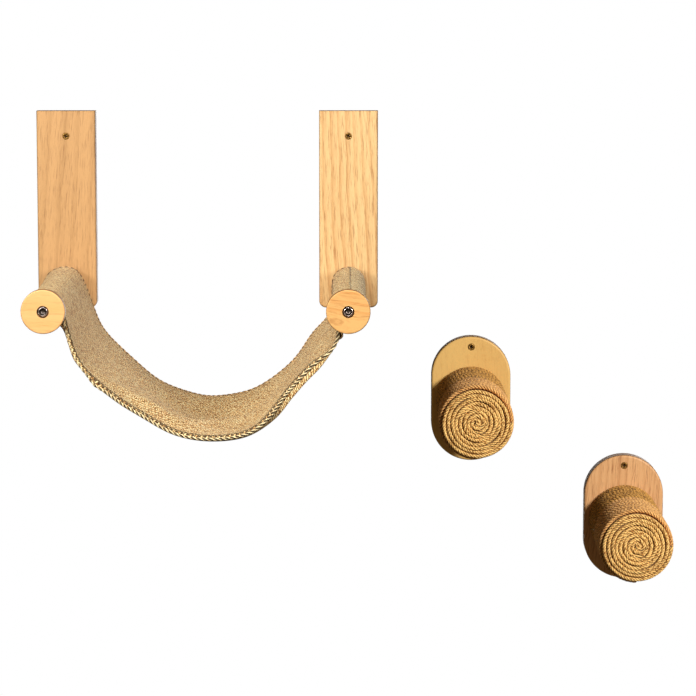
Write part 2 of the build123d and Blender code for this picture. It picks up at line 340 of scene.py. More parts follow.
def plating(name, bright, dull, rough, shade_from=None, shade_to=None):
    """Plated metal with a little tarnish.

    Where depths are given, painted shade for a recess grows between those two depths and ends a little
    past them."""
    finish = Finish(name)
    place = finish.add("TexCoord", {}, {}, "Object")
    tarnish = finish.between(finish.noise(place, 900.0, 3.0), 0.35, 0.7)
    body = finish.mix(tarnish, bright, dull)
    if shade_from is not None:
        depth = finish.add("SeparateXYZ", {}, {0: place}, "Y")
        past = shade_to + 4 * (shade_to - shade_from)
        # Painted shade in the recess, darkest between the two given depths and gone a little past them.
        sunk = finish.between(depth, shade_from, shade_to) * (1 - finish.between(depth, past, past + 1 * mm))
        body = finish.mix(0.93 * sunk, body, recess_shade)
    finish.surface({"Base Color": body, "Metallic": 0.9, "Roughness": rough * (1 + 0.4 * tarnish)})
    return finish


def add_piece(name, vertices, faces, finish, body, uvs=None):
    """A mesh piece in the frame that rides on a body, with its uvs in metres."""
    mesh = bpy.data.meshes.new(name)
    mesh.from_pydata(np.asarray(vertices).tolist(), [], faces)
    mesh.shade_smooth()
    if uvs is not None:
        corners = np.zeros(len(mesh.loops), np.int32)
        mesh.loops.foreach_get("vertex_index", corners)
        mesh.uv_layers.new(name="Lay").data.foreach_set("uv", np.asarray(uvs)[corners].ravel())
    mesh.materials.append(finish.owner)
    piece = bpy.data.objects.new(name, mesh)
    scene.collection.objects.link(piece)
    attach(piece, body)
    return piece


def ring_faces(count, sides):
    """Quads between count rings of sides points each, and a face over each end."""
    i, j = np.meshgrid(np.arange(count - 1), np.arange(sides), indexing="ij")
    k = (j + 1) % sides
    quads = np.stack([i * sides + j, i * sides + k, (i + 1) * sides + k, (i + 1) * sides + j], axis=-1)
    last = (count - 1) * sides
    return [*quads.reshape(-1, 4).tolist(), list(range(sides))[::-1], list(range(last, last + sides))]


def joined(shapes):
    """Several shapes' vertices and faces as one."""
    faces, base = [], 0
    for vertices, shape_faces in shapes:
        faces.extend([[base + corner for corner in face] for face in shape_faces])
        base += len(vertices)
    return np.concatenate([vertices for vertices, _ in shapes]), faces


def turned(x, z, radii, depths):
    """A shape turned about the line square to the wall through x and z, from the wall side outwards."""
    angle = 2 * pi * np.arange(radii.shape[1]) / radii.shape[1]
    rings = np.stack([x + radii * np.cos(angle), depths, z + radii * np.sin(angle)], axis=-1)
    return rings.reshape(-1, 3), ring_faces(*radii.shape)


screw_sides = 32
screw_angle = 2 * pi * np.arange(screw_sides) / screw_sides
screw_head_radius = 4.4 * mm
recess_turn = 0.4
recess_half_width = 0.62 * mm
recess_reach = 2.5 * mm
recess_depth = 1.7 * mm
recess_slope = 0.45


def thread(start, end, root, crest, pitch, point):
    """Rings of a right hand thread from start, its pointed end, back to end: radii and depths."""
    depths = np.arange(start, end, -pitch / 8)[:, None] * np.ones(screw_sides)
    taper = np.clip((start - depths) / point, 0.06, 1)
    phase = (depths / pitch + screw_angle / (2 * pi)) % 1
    ridge = np.clip(1 - np.abs(phase - 0.5) / 0.26, 0, 1)
    return taper * (root + (crest - root) * ridge), depths


def wood_screw(x, z, face, grip, reach):
    """A countersunk screw, its head flush with face, which goes through grip of wood and reach deep."""
    thread_end = grip - 3 * mm
    radii, depths = thread(reach, thread_end, root=1.5 * mm, crest=2.35 * mm, pitch=2 * mm, point=6 * mm)
    shank_and_head = [(1.7, 14.0), (1.7, 3.1), (4.35, 1.1), (screw_head_radius / mm, 1.0), (3.85, 0.2)]
    head_rings = [(3.5 - 0.3 * ring, 0.2) for ring in range(12)]
    across, deep = np.transpose([*shank_and_head, *head_rings]) * mm
    turn = screw_angle + recess_turn
    u, v = np.abs(across[:, None] * np.cos(turn)), np.abs(across[:, None] * np.sin(turn))
    recess = (np.minimum(u, v) < recess_half_width) & (np.maximum(u, v) < recess_reach)
    sunk = np.where(recess, recess_depth - recess_slope * np.maximum(u, v), 0)
    radii = np.concatenate([radii, across[:, None] * np.ones(screw_sides)])
    depths = np.concatenate([depths, deep[:, None] + sunk])
    return turned(x, z, radii, face + depths)


# The boards and the plates are equally thick.
board_low, board_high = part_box("left_board")
front_of_wood = board_low[1]
thickness = board_high[1] - front_of_wood
# Depths over which painted shade darkens the screws' cross recess and the rim round each head.
head_shade = (front_of_wood + 0.25 * mm, front_of_wood + 0.7 * mm)
screw_brass = plating("screw_brass", tone(170, 128, 64), tone(98, 66, 26), 0.34, *head_shade)
back_brass = plating("back_brass", tone(214, 180, 112), tone(150, 114, 60), 0.3)
for node in ("board_screws", "step_1_wall_screws", "step_2_wall_screws"):
    low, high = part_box(node)
    if node == "board_screws":
        spots = [(x, middle(node).z) for x in (low[0] + screw_head_radius, high[0] - screw_head_radius)]
    else:
        spots = [(middle(node).x, z) for z in (low[2] + screw_head_radius, high[2] - screw_head_radius)]
    shapes = [wood_screw(x, z, front_of_wood, thickness, high[1] - front_of_wood) for x, z in spots]
    screws = add_piece(f"{node}_cut", *joined(shapes), screw_brass, "wall_parts")
    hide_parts(node)
dress(back_brass, "step_1_core_screws", "step_2_core_screws")


# Hanger bolts and threaded inserts. Zinc plated steel: a machine thread that turns into the dowel's
# insert, and a coarse wood thread that goes into the wall.
zinc = plating("zinc_plate", tone(196, 198, 200), tone(150, 152, 156), 0.3)
for side in ("left", "right"):
    node = f"{side}_hanger_bolt"
    low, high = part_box(node)
    coarse = thread(high[1], 1 * mm, root=2.4 * mm, crest=3.5 * mm, pitch=3.2 * mm, point=9 * mm)
    fine = thread(0.0, low[1], root=3.3 * mm, crest=4.0 * mm, pitch=1.25 * mm, point=0.1 * mm)
    radii, depths = [np.concatenate(parts) for parts in zip(coarse, fine)]
    shape = turned(middle(node).x, middle(node).z, radii, depths)
    bolt = add_piece(f"{node}_cut", *shape, zinc, "wall_parts")
    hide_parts(node)
    dress(zinc, f"{side}_front_insert", f"{side}_rear_insert")


# Dowels. Round hardwood rods that carry the sling, with the grain along them.
dowel_wood = wood(
    "dowel_wood",
    pale=tone(238, 192, 130),
    dark=tone(208, 158, 100),
    pore=tone(150, 100, 55),
    grain="Y",
    heart=(0.02, 0, -0.03),
    tilt=0.05,
    ring_gap=0.009,
    ring_share=0.3,
    line_share=0.5,
)
dress(dowel_wood, "left_dowel", "right_dowel")


# Sling. One jute cloth in a herringbone weave. It hangs from the dowels, each end is turned over its
# dowel and sewn back under the cloth, and the front hem is turned under.
cloth_half = 1.2 * mm
hem_swell = 0.5 * mm
hem_width = 9 * mm
hem_room = 2.0 * mm
sleeve_gap = 0.3 * mm
layer_gap = 2.9 * mm
lap_end_gap = 2.0 * mm
left_lap, left_tuck_reach, left_tuck_gap = 9 * mm, 20 * mm, 7.4 * mm
right_lap, right_tuck_reach, right_tuck_gap = 3.5 * mm, 13 * mm, 3.0 * mm
fold_radius = 1.7 * mm
flap_length = 5.5 * mm
flap_width = flap_length + fold_radius * pi
stitch_gap = 6.2 * mm
sling_low, sling_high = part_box("sling")
rear_y = sling_high[1] - hem_room
front_y = sling_low[1] + hem_room
cloth_width = rear_y - front_y
fold_at = cloth_width - fold_radius - cloth_half
dowel_low, dowel_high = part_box("left_dowel")
dowel_radius = (dowel_high[0] - dowel_low[0]) / 2
wrap_radius = dowel_radius + sleeve_gap + cloth_half

# How the cloth hangs at its rear hem, its middle and its front hem: across and up in millimetres, from
# the left seam to the right one.
rear_hang = (
    (-132, -45), (-117, -67), (-88, -94.5), (-59, -117.5), (-30, -130.5), (-2, -137.3),
    (27, -135.3), (56, -128), (85, -110), (108, -87), (128, -58.5), (150, -27),
)
middle_hang = (
    (-132.5, -46), (-113, -73), (-84, -99), (-55, -119), (-27, -134), (2, -141.5),
    (32, -143), (60, -137), (84, -119), (106, -96), (129, -64), (154, -27),
)
front_hang = (
    (-131, -56), (-108, -82), (-81, -102.5), (-55, -119), (-28, -134.5), (2, -141),
    (32, -140.5), (58, -134.5), (82, -118), (102, -98.5), (125, -73.5), (158, -28),
)


def unit(vectors):
    return vectors / np.linalg.norm(vectors, axis=-1, keepdims=True)


def sleeve_line(centre_x, seam, inward, way, lap_length, tuck_reach, tuck_gap):
    """The turned over end of the cloth: its lap, the tuck under the dowel, and the way round it."""
    run = unit(np.subtract(inward, seam))
    down = np.array((run[1], -run[0])) * way
    low_seam = np.array(seam) + layer_gap * down
    toward = atan2(seam[1], seam[0] - centre_x)
    foot_angle = toward + way * acos(wrap_radius / hypot(seam[0] - centre_x, seam[1]))
    spoke = np.array((cos(foot_angle), sin(foot_angle)))
    axis = np.array((centre_x, 0.0))
    tuck = axis + (wrap_radius - tuck_gap) * spoke + tuck_reach * unit(seam - axis - wrap_radius * spoke)
    tuck_angle = atan2(tuck[1], tuck[0] - centre_x)
    start = tuck_angle - way * acos(wrap_radius / float(np.linalg.norm(tuck - axis)))
    turn = way * ((way * (foot_angle - start)) % (2 * pi) - 2 * pi)
    steps = 11
    angles = [start + turn * step / steps for step in range(steps + 1)]
    round_it = [(centre_x + wrap_radius * cos(angle), wrap_radius * sin(angle)) for angle in angles]
    lap_end = np.array(seam) + lap_end_gap * down + lap_length * run
    return [lap_end, low_seam, tuck, *round_it]


def sling_line(hang):
    """One row of the cloth, from the lap under its left seam round both dowels to the lap at the right."""
    points = [(x * mm, z * mm) for x, z in hang]
    left_end = sleeve_line(left_x, points[0], points[1], 1, left_lap, left_tuck_reach, left_tuck_gap)
    right_end = sleeve_line(
        right_x, points[-1], points[-2], -1, right_lap, right_tuck_reach, right_tuck_gap
    )
    return np.array([*left_end, *points, *reversed(right_end)])


def smooth_line(knots, points, at):
    """Places on the natural cubic spline that passes points at the knots."""
    gaps = np.diff(knots)[:, None]
    slopes = np.diff(points, axis=0) / gaps
    weights = np.eye(len(knots))
    change = np.zeros(points.shape)
    for i in range(1, len(gaps)):
        weights[i, i - 1 : i + 2] = gaps[i - 1, 0], 2 * (gaps[i - 1, 0] + gaps[i, 0]), gaps[i, 0]
        change[i] = 6 * (slopes[i] - slopes[i - 1])
    bends = np.linalg.solve(weights, change)
    i = np.clip(np.searchsorted(knots, at, side="right") - 1, 0, len(gaps) - 1)
    after, gap = (at - knots[i])[:, None], gaps[i]
    first = slopes[i] - gap * (2 * bends[i] + bends[i + 1]) / 6
    curve = bends[i] / 2 + after * (bends[i + 1] - bends[i]) / (6 * gap)
    return points[i] + after * (first + after * curve)


lines = [sling_line(hang) for hang in (rear_hang, middle_hang, front_hang)]
chords = np.linalg.norm(np.diff(lines[1], axis=0), axis=1)
knots = np.concatenate([[0], np.cumsum(chords)])
sling_length = knots[-1]
station_gap = 2.4 * mm
stations = np.linspace(0, sling_length, round(sling_length / station_gap) + 1)
rows = [smooth_line(knots, line, stations) for line in lines]
sleeve_points = (len(knots) - len(middle_hang)) // 2
left_seam_at = knots[sleeve_points]
right_seam_at = knots[-1 - sleeve_points]
hanging = (stations - left_seam_at) / (right_seam_at - left_seam_at)


def soft_hill(at, middle_at, half_width):
    """A smooth hill 1 high."""
    return np.exp(-(((at - middle_at) / half_width) ** 2))


def soft_step(at, low, high):
    """0 under low, 1 over high, and smooth between."""
    share = np.clip((at - low) / (high - low), 0, 1)
    return share * share * (3 - 2 * share)


# The turned under hem lies flat below the cloth on the left, and stands open towards the right.
flap_share = 0.1 + 0.9 * soft_step(hanging, 0.035, 0.09) * (1 - soft_step(hanging, 0.9, 0.96))
flap_open = soft_step(hanging, 0.61, 0.79)
fold_angle = radians(168) - radians(93) * flap_open


# The left sleeve is loose on its outer side near the wall. The cut ends of the laps are pressed thin.
loose_point = 7
loose_at = knots[loose_point]
from_end = np.minimum(stations, sling_length - stations)
thinned = 0.4 + 0.6 * soft_step(from_end, 0, 5 * mm)


def cloth_place(across, lift=0.0):
    """Where the cloth's middle surface, raised by lift, is at all stations, and which way is up there.

    across is the distance from the rear hem. A crest runs along the front on the left and comes to the
    middle further right, the cloth dips behind it, and the left sleeve stands off its dowel."""
    share = across / cloth_width
    rear, mid, front = rows
    flat = rear * (1 - share) * (1 - 2 * share)
    flat = flat + mid * 4 * share * (1 - share) + front * share * (2 * share - 1)
    places = np.stack([flat[:, 0], np.full(len(stations), rear_y - across), flat[:, 1]], axis=1)
    along = unit(np.gradient(places[:, [0, 2]], axis=0))
    up = np.stack([-along[:, 1], np.zeros(len(along)), along[:, 0]], axis=1)
    crest_at = 0.84 - 0.26 * soft_step(hanging, 0.34, 0.56)
    crest_height = 12.5 * mm * soft_hill(hanging, 0.26, 0.17) + 5.0 * mm * soft_hill(hanging, 0.56, 0.17)
    crest_width = np.where(share < crest_at, 0.075, 0.14)
    crest = crest_height * soft_hill(share, crest_at, crest_width) * (1 - soft_step(share, 0.87, 1))
    right_crest = 3.0 * mm * soft_hill(hanging, 0.72, 0.12) * soft_hill(share, 0.55, 0.2)
    dip = 6.0 * mm * soft_hill(hanging, 0.42, 0.27) * soft_hill(share, 0.36, 0.16)
    ripple = 0.8 * mm * np.sin(hanging * 17 + share * 5) * np.sin(share * 9 + hanging * 6)
    away_from_seams = soft_hill(hanging, 0.5, 0.42)
    loose = 7.5 * mm * soft_hill(stations, loose_at, 17 * mm) * (1 - 0.85 * share)
    hem_rise = 7.4 * mm * flap_open * flap_share * soft_step(share, 0.82, 0.99)
    raised = lift * thinned + (crest + right_crest - dip + ripple) * away_from_seams + hem_rise + loose
    return places + up * np.reshape(raised, (-1, 1)), up


def flap_place(reach_share, lift):
    """Where the turned under hem is, raised by lift, at a share of its own width past the fold."""
    base, up = cloth_place(fold_at)
    lift = lift * thinned
    ahead = unit(base - cloth_place(fold_at - 1 * mm)[0])
    radius = fold_radius * flap_share
    reach = reach_share * flap_width * flap_share
    bend = np.minimum(reach / radius, fold_angle)
    straight = np.maximum(reach - radius * fold_angle, 0)
    forward = radius * np.sin(bend) + straight * np.cos(bend) + lift * np.sin(bend)
    under = radius * (1 - np.cos(bend)) + straight * np.sin(bend) - lift * np.cos(bend)
    return base + ahead * forward[:, None] - up * under[:, None]


rosy_fibre = tone(214, 150, 118)
hole_and_shade_tone = tone(48, 26, 9)
spot_half_length = 2.2 * mm
spot_half_width = 1.2 * mm


def jute_cloth(name, pale, mid, dark, gap_shade, pitch, band, slant, spot_rows):
    """Jute cloth: slanting yarns pitch apart, in bands that lean in turn, no two quite alike in colour.

    Dark spots, one to each stitch of the hem, lie in rows at those distances across the cloth: needle
    holes, and on the front hem's outer side painted shade under the thick yarn."""
    finish = Finish(name)
    lay = finish.add("UVMap", {"uv_map": "Lay"}, {})
    along = finish.add("SeparateXYZ", {}, {0: lay}, "X")
    across = finish.add("SeparateXYZ", {}, {0: lay}, "Y")
    leaning = finish.add("Math", {"operation": "PINGPONG"}, {0: across, 1: band})
    yarn_at = (along - slant * leaning) * (1 / pitch)
    place = finish.add("TexCoord", {}, {}, "Object")
    wander = finish.noise(place, 150.0, 2.0, 0.5)
    yarn_at = yarn_at + 0.5 * wander
    ridge = finish.add("Math", {"operation": "SINE"}, {0: yarn_at * (2 * pi)}) * 0.5 + 0.5
    which = finish.add("Math", {"operation": "FLOOR"}, {0: yarn_at + 0.25})
    length_at = across * (1 / (1.7 * pitch)) + which * 0.37
    length = finish.add("Math", {"operation": "FLOOR"}, {0: length_at})
    cell = finish.add("CombineXYZ", {}, {0: which, 1: length})
    each_yarn = finish.add("TexWhiteNoise", {"noise_dimensions": "2D"}, {"Vector": cell})
    knot = finish.add("Math", {"operation": "SINE"}, {0: length_at * (2 * pi)}) * 0.5 + 0.5
    high = ridge * (0.55 + 0.45 * knot)
    blotch = finish.noise(place, 26.0, 3.0, 0.6)
    grainy = finish.noise(place, 470.0, 2.0, 0.75)
    tint = finish.between(finish.noise(place, 95.0, 2.0, 0.5), 0.42, 0.7)
    shade = 0.26 * each_yarn + 1.8 * grainy + 0.14 * blotch + 0.2 * (1 - knot) - 0.32
    body = finish.mix(finish.between(shade, 0.74, 0.92), pale, mid)
    body = finish.mix(finish.between(shade, 0.94, 1.14), body, dark)
    body = finish.mix(0.12 * tint, body, rosy_fibre)
    # Painted shade darkens the gaps between the yarns.
    body = finish.mix((1 - high) ** 1.5 * 0.85, body, gap_shade)
    height = high + 0.5 * grainy + 0.3 * each_yarn
    stitch = finish.add("Math", {"operation": "FRACT"}, {0: along * (1 / stitch_gap)}) - 0.5
    for row_at, shift in zip(spot_rows, (0.0, 0.5)):
        from_row = (across - row_at) * (1 / spot_half_width) + 0.8 * (wander - 0.5)
        beside = finish.add("Math", {"operation": "WRAP"}, {0: stitch + shift, 1: 0.5, 2: -0.5})
        far = ((beside * (stitch_gap / spot_half_length)) ** 2 + from_row**2) ** 0.5
        # Dark spots: needle holes, and in the front hem's outer row painted shade under the thick yarn.
        dark_spot = 1 - finish.between(far, 0.6, 1.15)
        body = finish.mix(0.9 * dark_spot, body, hole_and_shade_tone)
        height = height - 1.5 * dark_spot
    finish.surface(
        {
            "Base Color": body,
            "Roughness": 0.86 + 0.1 * blotch,
            "Specular IOR Level": 0.2,
            "Sheen Weight": 0.1,
            "Normal": finish.bump(0.6, 0.9 * mm, height),
        }
    )
    return finish


herringbone = jute_cloth(
    "herringbone_jute",
    pale=tone(255, 233, 174),
    mid=tone(250, 200, 128),
    dark=tone(134, 90, 40),
    gap_shade=tone(86, 54, 18),
    pitch=2.9 * mm,
    band=12 * mm,
    slant=0.6,
    # A row of needle holes inside the thick hem yarn, and a row of painted shade under its outer side.
    spot_rows=(fold_at + 1.3 * mm, fold_at + 4.6 * mm),
)

# The cloth's columns go round it from the rear hem: over the top, round the front fold, along the
# turned under hem and round its edge, and back under the cloth. The rear hem is a little thicker.
edge_turns = [radians(angle) for angle in (60, 25, -25, -60)]
top_across = np.linspace(cloth_half, fold_at - 0.4 * mm, 50)
top_columns = [(across, cloth_half + hem_swell * soft_hill(across, 0, hem_width)) for across in top_across]
edge_share = 0.97
flap_shares = [0.0, 0.05, 0.1, 0.15, 0.2, 0.25, 0.3, 0.36, 0.55, 0.78, edge_share]
rear_edge = [(cloth_half * (1 - cos(t)), -(cloth_half + hem_swell) * sin(t)) for t in edge_turns]
columns = [cloth_place(across, lift)[0] for across, lift in top_columns]
columns += [flap_place(share, cloth_half) for share in flap_shares]
columns += [flap_place(edge_share + (1 - edge_share) * cos(t), cloth_half * sin(t)) for t in edge_turns]
columns += [flap_place(share, -cloth_half) for share in reversed(flap_shares)]
columns += [cloth_place(across, -lift)[0] for across, lift in [*reversed(top_columns), *rear_edge]]
flap_across = [fold_at + share * flap_width for share in flap_shares]
across_of = [*top_across, *flap_across, *[flap_across[-1]] * len(edge_turns), *reversed(flap_across)]
across_of += [*reversed(top_across), *[across for across, _ in rear_edge]]
vertices = np.stack(columns, axis=1).reshape(-1, 3)
sling_uvs = np.array([[s, across] for s in stations for across in across_of])


def strip_faces(count, ring):
    """Quads of a closed strip of count rings of ring points, and of its two ends."""
    faces = ring_faces(count, ring)[:-2]
    last = (count - 1) * ring
    for j in range((ring - 1) // 2):
        faces.append([ring - 1 - j, ring - 2 - j, j + 1, j])
        faces.append([last + j, last + j + 1, last + ring - 2 - j, last + ring - 1 - j])
    return faces


sling = add_piece(
    "sling_cloth", vertices, strip_faces(len(stations), len(columns)), herringbone, "sling", sling_uvs
)
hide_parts("sling")


# Facing of the right sleeve. The cloth's coarser cut end, which comes round the outer side of the dowel
# and is sewn down along the top.
facing_half = 0.7 * mm
facing_radius = wrap_radius + cloth_half + facing_half
facing_angles = np.radians(np.linspace(-50, 86, 36))
facing_edge = facing_radius * facing_angles[-1] - 0.9 * mm
coarse_jute = jute_cloth(
    "coarse_jute",
    pale=tone(255, 240, 184),
    mid=tone(254, 212, 144),
    dark=tone(142, 102, 50),
    gap_shade=tone(90, 60, 24),
    pitch=3.2 * mm,
    band=400 * mm,
    slant=-1.0,
    spot_rows=(facing_edge,),
)
facing_columns = np.linspace(rear_y - 1 * mm, front_y + 1 * mm, 70)
facing_ring = [(angle, facing_half) for angle in facing_angles]
facing_ring += [(angle, -facing_half) for angle in facing_angles[::-1]]

# The cut edge on top runs a little unevenly.
vertices, facing_uvs = [], []
for y in facing_columns:
    fray = 0.02 * sin(y * 900) + 0.015 * sin(y * 2300)
    for angle, lift in facing_ring:
        turn = angle + fray * soft_step(angle, 1.0, 1.5)
        radius = facing_radius + lift
        vertices.append((right_x + radius * cos(turn), y, radius * sin(turn)))
        facing_uvs.append((y, facing_radius * angle))
facing = add_piece(
    "right_sleeve_facing",
    vertices,
    strip_faces(len(facing_columns), len(facing_ring)),
    coarse_jute,
    "sling",
    facing_uvs,
)


# Hem yarn. Two ply yarn, sewn over and over along both hems. On the front hem a thick row beyond the
# fold and a thin one inside it lean towards each other, with needle holes inside the thick one and a row
# of painted shade under its outer side.
def length_along(line):
    """How far along a line each of its points lies."""
    return np.concatenate([[0], np.cumsum(np.linalg.norm(np.diff(line, axis=0), axis=1))])


def ply_lines(line, outward, plies, wide, tall, turns):
    """Centre lines of plies twisted in an oval round a line, with the spoke of each point."""
    ahead = unit(np.gradient(line, axis=0))
    outward = unit(outward - ahead * np.sum(outward * ahead, axis=1, keepdims=True))
    beside = np.cross(ahead, outward)
    for ply in range(plies):
        turn = 2 * pi * (turns + ply / plies)
        swing = tall * np.cos(turn)[:, None] * outward + wide * np.sin(turn)[:, None] * beside
        yield line + swing, outward * np.cos(turn)[:, None] + beside * np.sin(turn)[:, None]


def ply_tubes(line, outward, plies, ply_radius, wide, tall, turns, sides):
    """Twisted plies as tubes: vertices, faces, and uvs of the run and the reach from the inner side."""
    shapes, uvs = [], []
    run = length_along(line)
    for core, spoke in ply_lines(line, outward, plies, wide, tall, turns):
        core_ahead = unit(np.gradient(core, axis=0))
        spoke = unit(spoke - core_ahead * np.sum(spoke * core_ahead, axis=1, keepdims=True))
        flank = np.cross(core_ahead, spoke)
        round_it = [2 * pi * (side + 0.5) / sides for side in range(sides)]
        rings = [core + ply_radius * (cos(a) * spoke + sin(a) * flank) for a in round_it]
        shapes.append((np.stack(rings, axis=1).reshape(-1, 3), ring_faces(len(line), sides)))
        reach = [abs(a - pi) * ply_radius for a in round_it]
        uvs.append(np.array([[s, r] for s in run for r in reach]))
    return *joined(shapes), np.concatenate(uvs)


def yarn(name, pale, dark, gap_shade, ply_radius, fuzz, wall_tones=None, wall_tones_to=None):
    """Twisted jute fibre: fine streaks along each ply, and painted shade in the hollows between the plies.

    Where wall side tones are given, the fibre takes those tones from the wall out to the given depth."""
    finish = Finish(name)
    lay = finish.add("UVMap", {"uv_map": "Lay"}, {})
    place = finish.add("TexCoord", {}, {}, "Object")
    reach = finish.add("SeparateXYZ", {}, {0: lay}, "Y") * (1 / (pi * ply_radius))
    fibres = finish.noise(finish.scaled(lay, (210, 1300, 1)), 1.0, 3.0, 0.6)
    blotch = finish.noise(place, 60.0, 3.0, 0.6)
    speck = finish.between(finish.noise(place, 420.0, 2.0, 0.6), 0.45, 0.66)
    shade = finish.between(0.55 * fibres + 0.35 * blotch + 0.3 * speck, 0.42, 0.82)
    body = finish.mix(shade, pale, dark)
    if wall_tones is not None:
        depth = finish.add("SeparateXYZ", {}, {0: place}, "Y")
        # The fibre is darker towards the wall, out to the given depth, with a wavy edge.
        near_wall = finish.between(depth + 4 * mm * (blotch - 0.5), wall_tones_to - 1 * mm, wall_tones_to + 1 * mm)
        body = finish.mix(near_wall, body, finish.mix(shade, *wall_tones))
    # Painted shade darkens the hollows between the plies.
    hollow_shade = 1 - finish.between(reach, 0.3, 0.82)
    finish.surface(
        {
            "Base Color": finish.mix(hollow_shade * 0.92, body, gap_shade),
            "Roughness": 0.8,
            "Specular IOR Level": 0.25,
            "Sheen Weight": fuzz,
            "Normal": finish.bump(0.7, 0.5 * mm, fibres + 0.5 * speck),
        }
    )
    return finish


stitch_ply = 1.0 * mm
cream_yarn = yarn(
    "cream_yarn",
    pale=tone(248, 226, 174),
    dark=tone(186, 144, 90),
    gap_shade=tone(36, 18, 2),
    ply_radius=stitch_ply,
    fuzz=0.05,
)
tan_yarn = yarn(
    "tan_yarn",
    pale=tone(196, 160, 112),
    dark=tone(136, 100, 60),
    gap_shade=tone(60, 38, 18),
    ply_radius=0.8 * stitch_ply,
    fuzz=0.1,
)

# The yarn runs from the tuck under the left dowel to the one under the right.
tuck_point = 2
run = np.arange(knots[tuck_point], knots[-1 - tuck_point], stitch_gap / 10)


def along_hem(line):
    """The line through the stations, at the finer steps of the yarn."""
    return np.stack([np.interp(run, stations, line[:, axis]) for axis in range(3)], axis=1)


# Each row of stitches has its middle line, a line on the cloth under it, its size and its slant.
rear_row_at = 2.4 * mm
inner_row_at = fold_at - 0.6 * mm
outer_row_at = 0.27 + 0.34 * (1 - soft_step(hanging, 0.02, 0.13))
rear_rows = [(cloth_place(rear_row_at, 1.5 * mm)[0], cloth_place(rear_row_at)[0], 0.8, 1)]
front_rows = [
    (flap_place(outer_row_at, 1.6 * mm), flap_place(outer_row_at, 0), 0.9, 1),
    (cloth_place(inner_row_at, 1.3 * mm)[0], cloth_place(inner_row_at)[0], 0.5, -1),
]
for hem_name, hem_rows, jute in (
    ("rear_hem_yarn", rear_rows, tan_yarn),
    ("front_hem_yarn", front_rows, cream_yarn),
):
    shapes, yarn_uvs = [], []
    for over, under, size, slant in hem_rows:
        line = along_hem(over)
        outward = unit(line - along_hem(under))
        ply = size * stitch_ply
        twists = slant * 0.5 * run / stitch_gap
        *tubes, uvs = ply_tubes(line, outward, 2, ply, 1.15 * ply, 0.75 * ply, twists, 8)
        shapes.append(tubes)
        yarn_uvs.append(uvs)
    stitches = add_piece(hem_name, *joined(shapes), jute, "sling", np.concatenate(yarn_uvs))


# End caps. Thin turned discs of the same hardwood, with the grain level. A bolt with a domed, chromed
# head and a hexagonal socket sits in each, on a washer. Painted shade darkens the socket and the sides of
# the head in the cap's recess, and the washer is toned near black as shade.
left_cap_wood = wood(
    "left_cap_wood",
    pale=tone(232, 178, 114),
    dark=tone(221, 160, 92),
    pore=tone(184, 120, 64),
    grain="X",
    heart=(-0.1, -0.36, 0.06),
    tilt=0.05,
    ring_gap=0.016,
    ring_share=0.22,
    line_share=0.3,
)
right_cap_wood = wood(
    "right_cap_wood",
    pale=tone(219, 168, 102),
    dark=tone(206, 144, 79),
    pore=tone(162, 103, 48),
    grain="X",
    heart=(0.15, -0.33, -0.01),
    tilt=0.12,
    ring_gap=0.008,
    ring_share=0.42,
    line_share=0.55,
)
dress(left_cap_wood, "left_end_cap")
dress(right_cap_wood, "right_end_cap")
bolt_low, bolt_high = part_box("left_cap_bolt")
head_top = bolt_low[1]
# Depths over which painted shade darkens the socket and the sides of the head sunk in the cap.
socket_shade = (head_top + 0.7 * mm, head_top + 1.1 * mm)
chrome = plating("chrome", tone(240, 228, 220), tone(178, 152, 140), 0.16, *socket_shade)
# The washer's near black tone is painted shade in the cap's recess.
shade_toned_washer = plating("shade_toned_washer", tone(44, 28, 18), tone(28, 18, 10), 0.5)
head_radius = (bolt_high[0] - bolt_low[0]) / 2
head_seat = head_top + 3.6 * mm
shank_radius = 3 * mm
socket_rim = 4.3 * mm
sides = 48
socket_turn = 2 * pi * np.arange(sides) / sides
circle = np.ones(sides)
hexagon = 1 / np.cos(np.radians((np.degrees(socket_turn) % 60) - 30))

# The bolt's outline: the shank from its end, the flat under the head, the dome, and down the socket.
dome_turn = np.radians(np.linspace(66, 14, 10))
dome_radius = (head_radius - socket_rim) / (sin(dome_turn[0]) - sin(dome_turn[-1]))
dome_across = head_radius + dome_radius * (np.sin(dome_turn) - sin(dome_turn[0]))
dome_depth = head_top + dome_radius * (cos(dome_turn[-1]) - np.cos(dome_turn))
across = [0.1 * mm, shank_radius, shank_radius, head_radius, *dome_across]
depths = [bolt_high[1], bolt_high[1], head_seat, head_seat, *dome_depth]
radii = np.array(across)[:, None] * circle
depths = np.array(depths)[:, None] * circle
for reach, deep, outline in (
    (4.2, 0.3, circle),
    (4.0, 1.2, circle),
    (2.9, 1.6, hexagon),
    (2.8, 2.6, hexagon),
    (1.4, 3.0, hexagon),
    (0.1, 3.1, hexagon),
):
    radii = np.concatenate([radii, [reach * mm * outline]])
    depths = np.concatenate([depths, [(head_top + deep * mm) * circle]])
for side in ("left", "right"):
    node = f"{side}_cap_bolt"
    shape = turned(middle(node).x, middle(node).z, radii, depths)
    bolt = add_piece(f"{node}_cut", *shape, chrome, "wall_parts")
    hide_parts(node)
    dress(shade_toned_washer, f"{side}_cap_washer")


